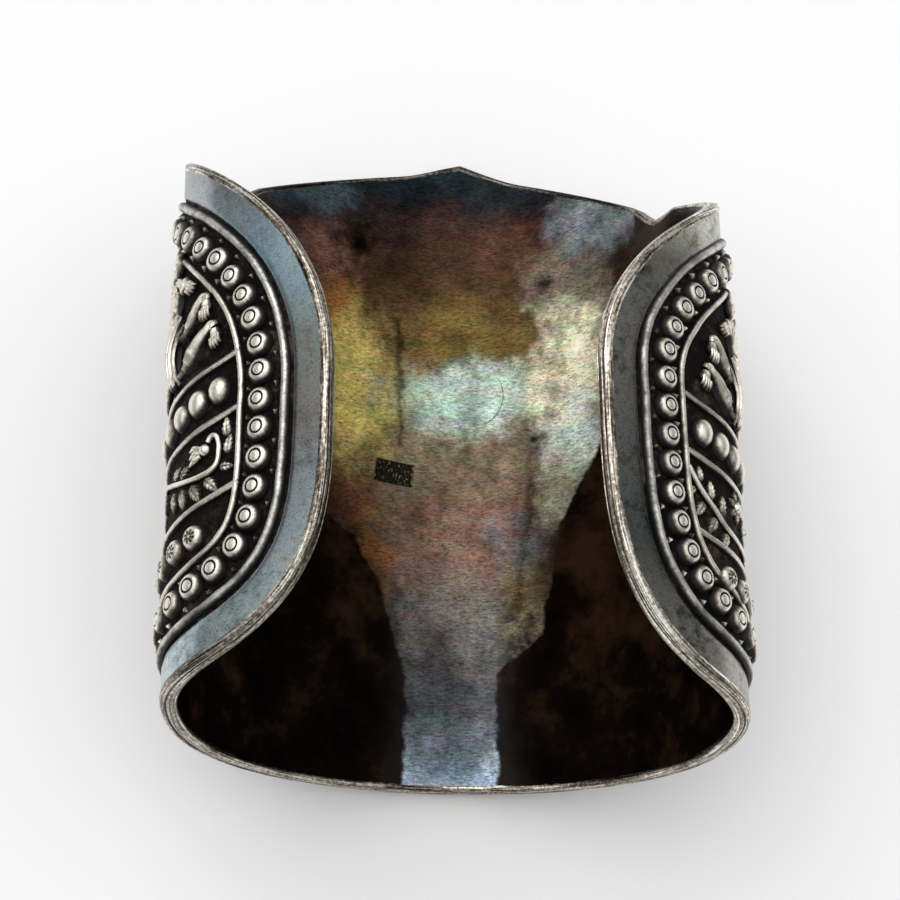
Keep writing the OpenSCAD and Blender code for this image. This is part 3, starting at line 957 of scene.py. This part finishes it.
# The leaves of both ends [s, height, direction, size]
END_LEAVES = [
    (-61.9, 22.0, 80, 1.0), (-61.8, 20.2, 100, 0.95), (-60.9, 19.2, 180, 0.8), (-58.9, 18.9, 215, 1.05),
    (-56.9, 19.3, 230, 1.1), (-55.3, 19.8, 253, 1.05), (-53.4, 20.5, 258, 1.0), (-55.0, 20.9, 139, 0.85),
    (-53.4, 21.6, 139, 0.85), (61.2, 22.1, 72, 0.75), (59.6, 20.9, 76, 0.9), (57.9, 19.9, 84, 0.95),
    (62.2, 21.1, -45, 0.7), (60.9, 20.1, -58, 0.95), (59.2, 19.2, -64, 1.0), (57.3, 18.4, -70, 0.95)]
bpy.ops.object.select_all(action="DESELECT")
bpy.ops.mesh.primitive_grid_add(x_subdivisions=20, y_subdivisions=8, size=2)
leaf = bpy.context.object
for vertex in leaf.data.vertices:
    run, side = (vertex.co.x + 1) / 2, vertex.co.y
    along = math.sin(math.pi * run)
    tooth = 1 + 0.5 * ((run * LEAF_TEETH) % 1 - 0.5) if 0.1 < run < 0.9 and abs(side) > 0.9 else 1
    half = LEAF_HALF * max(math.sin(math.pi * run ** 0.75), 0.04) ** 0.8 * tooth
    domed = LEAF_DOME * math.sqrt(max(0, 1 - side ** 2)) * max(along, 0) ** 0.5
    midrib = MIDRIB_DEEP * math.exp(-(side / MIDRIB_W) ** 2)
    veins = 1 + math.cos(math.tau * (VEINS_N * run - VEIN_LEAN * abs(side)))
    sunk = (midrib + VEIN_DEEP * abs(side) * veins) * along
    vertex.co = (LEAF_LEN * run, half * side + LEAF_BEND * run * run, LEAF_RISE + domed - sunk)
thicken(leaf, LEAF_THICK)

stem_points = [(s, row_y(y, s), STEM_H) for s, y in LEFT_HOOK + LEFT_END]
for i in range(STEM_STEPS + 1):
    s = STEM_REACH * (2 * i / STEM_STEPS - 1)
    wave = VINE_SWING * math.sin(math.pi * VINE_WAVES * s / VINE_REACH)
    stem_points.append((s, row_y(VINE_BASE, s) - wave, STEM_H))
stem_points += [(s, row_y(y, s), STEM_H) for s, y in RIGHT_END]
radii = [STEM_R * (1 + 0.25 * noise.noise(Vector((i * 0.4, 3, 1)))) for i in range(len(stem_points))]
stem = drawn_wire(stem_points, radii, deepest=-0.5)

# Along the waves the leaves stand in pairs, and the one inside a bend is smaller.
spots = [(s, row_y(y, s), math.radians(way), size) for s, y, way, size in END_LEAVES]
gone = 0
for (s0, y0, h), (s1, y1, h) in zip(stem_points, stem_points[1:]):
    gone += math.hypot(s1 - s0, y1 - y0)
    if gone < LEAF_STEP or abs(s0) > LEAVES_REACH:
        continue
    gone = 0
    for side in (1, -1):
        lean = math.atan2(y1 - y0, s1 - s0) + side * LEAF_LEAN
        inside = (y0 - row_y(VINE_BASE, s0)) * side > INNER_LEAF_FROM
        size = INNER_LEAF_SIZE if inside else LEAF_SIZE
        spots.append((s0 + LEAF_OFF * math.cos(lean), y0 + LEAF_OFF * math.sin(lean), lean, size))
petal = copy_of(leaf)
leaves = set_in_place(leaf, spots, "leaves")

turns = [math.tau * k / FLOWER_PETALS for k in range(FLOWER_PETALS)]
spots = [(PETAL_OFF * math.cos(a), PETAL_OFF * math.sin(a), a, PETAL_SIZE) for a in turns]
petals = set_in_place(petal, spots, "petals")
heart = turned(HEART_STEPS, 10)
flower = joined([heart, petals], "flower")
spots = [(54.8, row_y(22.4, 54.8), 0.3, 1.0)]
for k in range(-6, 7):
    s = VINE_REACH / VINE_WAVES * (k + 0.5)
    up = 1 if math.sin(math.pi * VINE_WAVES * s / VINE_REACH) > 0 else -1
    spots.append((s, row_y(VINE_BASE, s) + FLOWER_OFF * up, 0.5 * k, FLOWER_SIZE))
flowers = set_in_place(flower, spots, "flowers")

bud = set_in_place(turned(BUD_STEPS, 12), [(-59.0, row_y(22.1, -59.0), 0.2, 0.85)], "bud")
calyx = []
for k in (-0.4, 0, 0.4):
    sepal = [(-58.5, 22.1 + k, 0.4), (-57.7, 22.2 + 1.7 * k, 0.5), (-56.8, 22.2 + 2 * k, 0.3)]
    calyx.append(drawn_wire([(s, row_y(y, s), h) for s, y, h in sepal], [0.25, 0.32, 0.14]))
vine = joined([stem, leaves, flowers, bud] + calyx, "vine")
bend_round_wrist(vine)
vine.data.materials.append(oxidised_silver_with_painted_light("rubbed_silver_vine", 0.1, 0.55, bright="#efe9dc"))
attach(vine, "root")
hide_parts("cuff")


# The dancers
# Six small dancing figures in the field above the pearls, in the old temple manner: raised from behind, and
# then the fingers, faces and pleats cut in from the front. Their faces are plain and calm, from one pattern.
DANCERS = [-52, -31, -10.5, 10.5, 31, 52]
DANCER_BASE = 33.0
DANCER_TOP = 0.84
# The body, the hips and five limbs, each through points [outward, up, radius]
LIMBS = [
    [(0.1, 12.6, 0.75), (0.0, 11.2, 1.3), (0.05, 9.8, 1.15), (0.1, 8.4, 0.85), (0.0, 7.2, 1.1)],
    [(-0.9, 6.9, 1.15), (0.1, 6.7, 1.25), (1.0, 6.9, 1.15)],
    [(0.8, 12.4, 0.6), (1.8, 11.6, 0.55), (2.5, 10.4, 0.45), (2.7, 11.3, 0.4), (3.1, 10.7, 0.5)],
    [(3.3, 4.4, 0.55), (3.8, 5.0, 1.0), (4.6, 5.9, 1.0), (5.5, 6.8, 0.72), (6.4, 7.1, 0.5),
     (6.5, 6.5, 0.55)],
    [(3.1, 0.1, 0.7), (3.6, 0.6, 1.35), (4.6, 1.5, 1.55), (5.7, 2.3, 1.15), (6.8, 2.9, 0.7), (7.5, 3.2, 0.5),
     (7.8, 2.6, 0.55)],
    [(-0.9, 12.2, 0.6), (-2.6, 11.4, 0.55), (-3.6, 12.6, 0.45), (-4.2, 14.0, 0.4), (-4.5, 14.7, 0.5)],
    [(-0.6, 6.4, 1.05), (-2.6, 4.7, 0.9), (-3.2, 2.4, 0.65), (-3.3, 0.8, 0.4), (-3.9, 0.3, 0.45),
     (-4.9, 0.2, 0.3)]]
# The low stretches that tie two of the limbs to the body
TUCKED = [
    [(0.4, 6.4, 0.8), (2.0, 5.0, 0.7), (3.5, 4.6, 0.6)],
    [(0.6, 1.2, 0.8), (2.0, 0.4, 0.7), (3.4, 0.5, 0.7)]]
TUCKED_TOP = 0.72
SKIRT = [(1.6, 7.3, 0.7), (0.3, 6.0, 1.2), (-0.2, 4.0, 1.35), (-0.1, 1.9, 1.2), (0.9, -0.2, 0.7)]
SKIRT_TOP = 1.1
# Hands [outward, up, direction], a palm [forward, radius] and fingers [aside, length]
HANDS = [(3.3, 10.4, -49), (6.5, 6.0, -92), (7.9, 1.9, -80), (-4.6, 14.9, 105)]
PALM = [(-0.5, 0.5), (0.3, 0.68), (0.7, 0.55)]
FINGERS = [(-1.5, 1.05), (-0.5, 1.25), (0.5, 1.25), (1.5, 1.05)]
FINGER_ROOT = 0.5
FINGER_STEP = 0.33
FINGER_SPREAD = 0.06
FINGER_RADII = [0.17, 0.18, 0.13]
# Pleats [top, points]
PLEATS = [
    (0.85, [(2.9, 6.0), (1.5, 5.0), (0.9, 3.5), (1.1, 1.5), (2.5, -0.9)]),
    (1.1, [(2.5, 7.2), (0.9, 5.9), (0.2, 4.0), (0.3, 1.8), (1.4, -0.5)]),
    (1.15, [(1.8, 7.9), (0.2, 6.6), (-0.5, 4.5), (-0.5, 2.1), (0.5, -0.1)]),
    (0.85, [(0.9, 8.2), (-0.5, 7.0), (-1.2, 4.9), (-1.2, 2.4), (-0.3, 0.3)])]
PLEAT_RADII = [0.22, 0.27, 0.3, 0.27, 0.2]
PLEAT_FALLS = [0.35, 0.175, 0, 0.175, 0.35]
# Head, eyes, nose, mouth, hair, topknot, the skirt's foot and the chest [outward, up, half sizes, height]
ROUNDS = [
    (0.2, 14.6, 1.12, 1.36, 0.75, 0.3), (-0.2, 14.75, 0.24, 0.1, 0.1, 0.98),
    (0.6, 14.75, 0.24, 0.1, 0.1, 0.98), (0.2, 14.45, 0.12, 0.36, 0.14, 1.0),
    (0.2, 13.98, 0.3, 0.09, 0.1, 0.9), (0.2, 15.75, 1.1, 0.5, 0.6, 0.3),
    (0.2, 16.35, 0.6, 0.75, 0.5, 0.3), (0.8, 0.2, 0.5, 0.6, 0.4, 0.3),
    (-0.4, 11.4, 0.42, 0.42, 0.3, 0.78), (0.5, 11.4, 0.42, 0.42, 0.3, 0.78)]
# Girdles and a necklace [outward, up, half length]
GIRDLES = [(0.0, 8.6, 1.0), (0.0, 7.6, 1.25), (0.1, 12.9, 0.6)]
GIRDLE_RADII = [0.16, 0.2, 0.16]
GIRDLE_RISE = 0.3


def limb(points, top=DANCER_TOP, share=0.72):
    """A modelled limb through points [outward, up, radius], with a share of each radius under its top."""
    return drawn_wire([(d, v, top - share * r) for d, v, r in points], [r for d, v, r in points])


def from_wrist(hand, forward, aside=0.0):
    """A point [outward, up] of a hand, so far forward along it and aside from its middle line."""
    d, v, way = hand
    along_d, along_v = math.cos(math.radians(way)), math.sin(math.radians(way))
    return (d + forward * along_d - aside * along_v, v + forward * along_v + aside * along_d)


parts = [limb(points) for points in LIMBS]
for hand in HANDS:
    parts.append(limb([(*from_wrist(hand, forward), r) for forward, r in PALM]))
    for k, reach in FINGERS:
        side = FINGER_STEP * k
        joints = [(FINGER_ROOT, side, 0.86), (FINGER_ROOT + 0.6 * reach, side, 0.8),
                  (FINGER_ROOT + reach, side + FINGER_SPREAD * k, 0.5)]
        finger = [(*from_wrist(hand, forward, aside), h) for forward, aside, h in joints]
        parts.append(drawn_wire(finger, FINGER_RADII, soft=1))
parts += [limb(points, TUCKED_TOP, 1) for points in TUCKED]
parts.append(limb(SKIRT, SKIRT_TOP, 1))
for top, points in PLEATS:
    parts.append(drawn_wire([(d, v, top - fall) for (d, v), fall in zip(points, PLEAT_FALLS)], PLEAT_RADII))
for d, v, wide, high, thick, up in ROUNDS:
    bpy.ops.object.select_all(action="DESELECT")
    bpy.ops.mesh.primitive_uv_sphere_add(segments=14, ring_count=10, radius=1, location=(0, 0, 0))
    parts.append(bpy.context.object)
    parts[-1].data.transform(Matrix.Translation((d, v, up)) @ Matrix.Diagonal((wide, high, thick, 1)))
for d, v, half in GIRDLES:
    points = zip((d - half, d, d + half), (v, v - 0.25, v), GIRDLE_RADII)
    parts.append(limb(list(points), DANCER_TOP + GIRDLE_RISE))
pattern = joined(parts, "pattern")

troupe = []
for middle in DANCERS:
    troupe.append(copy_of(pattern))
    for vertex in troupe[-1].data.vertices:
        s = middle + math.copysign(1, middle) * vertex.co.x
        vertex.co = (s, row_y(DANCER_BASE, s) + vertex.co.y, vertex.co.z)
bpy.data.objects.remove(pattern)
dancers = joined(troupe, "dancers")
bend_round_wrist(dancers)
dancers.data.materials.append(oxidised_silver_with_painted_light("rubbed_silver_dancers", 0.3, 1.0, bright="#eae4d6"))
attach(dancers, "root")
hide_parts("cuff")
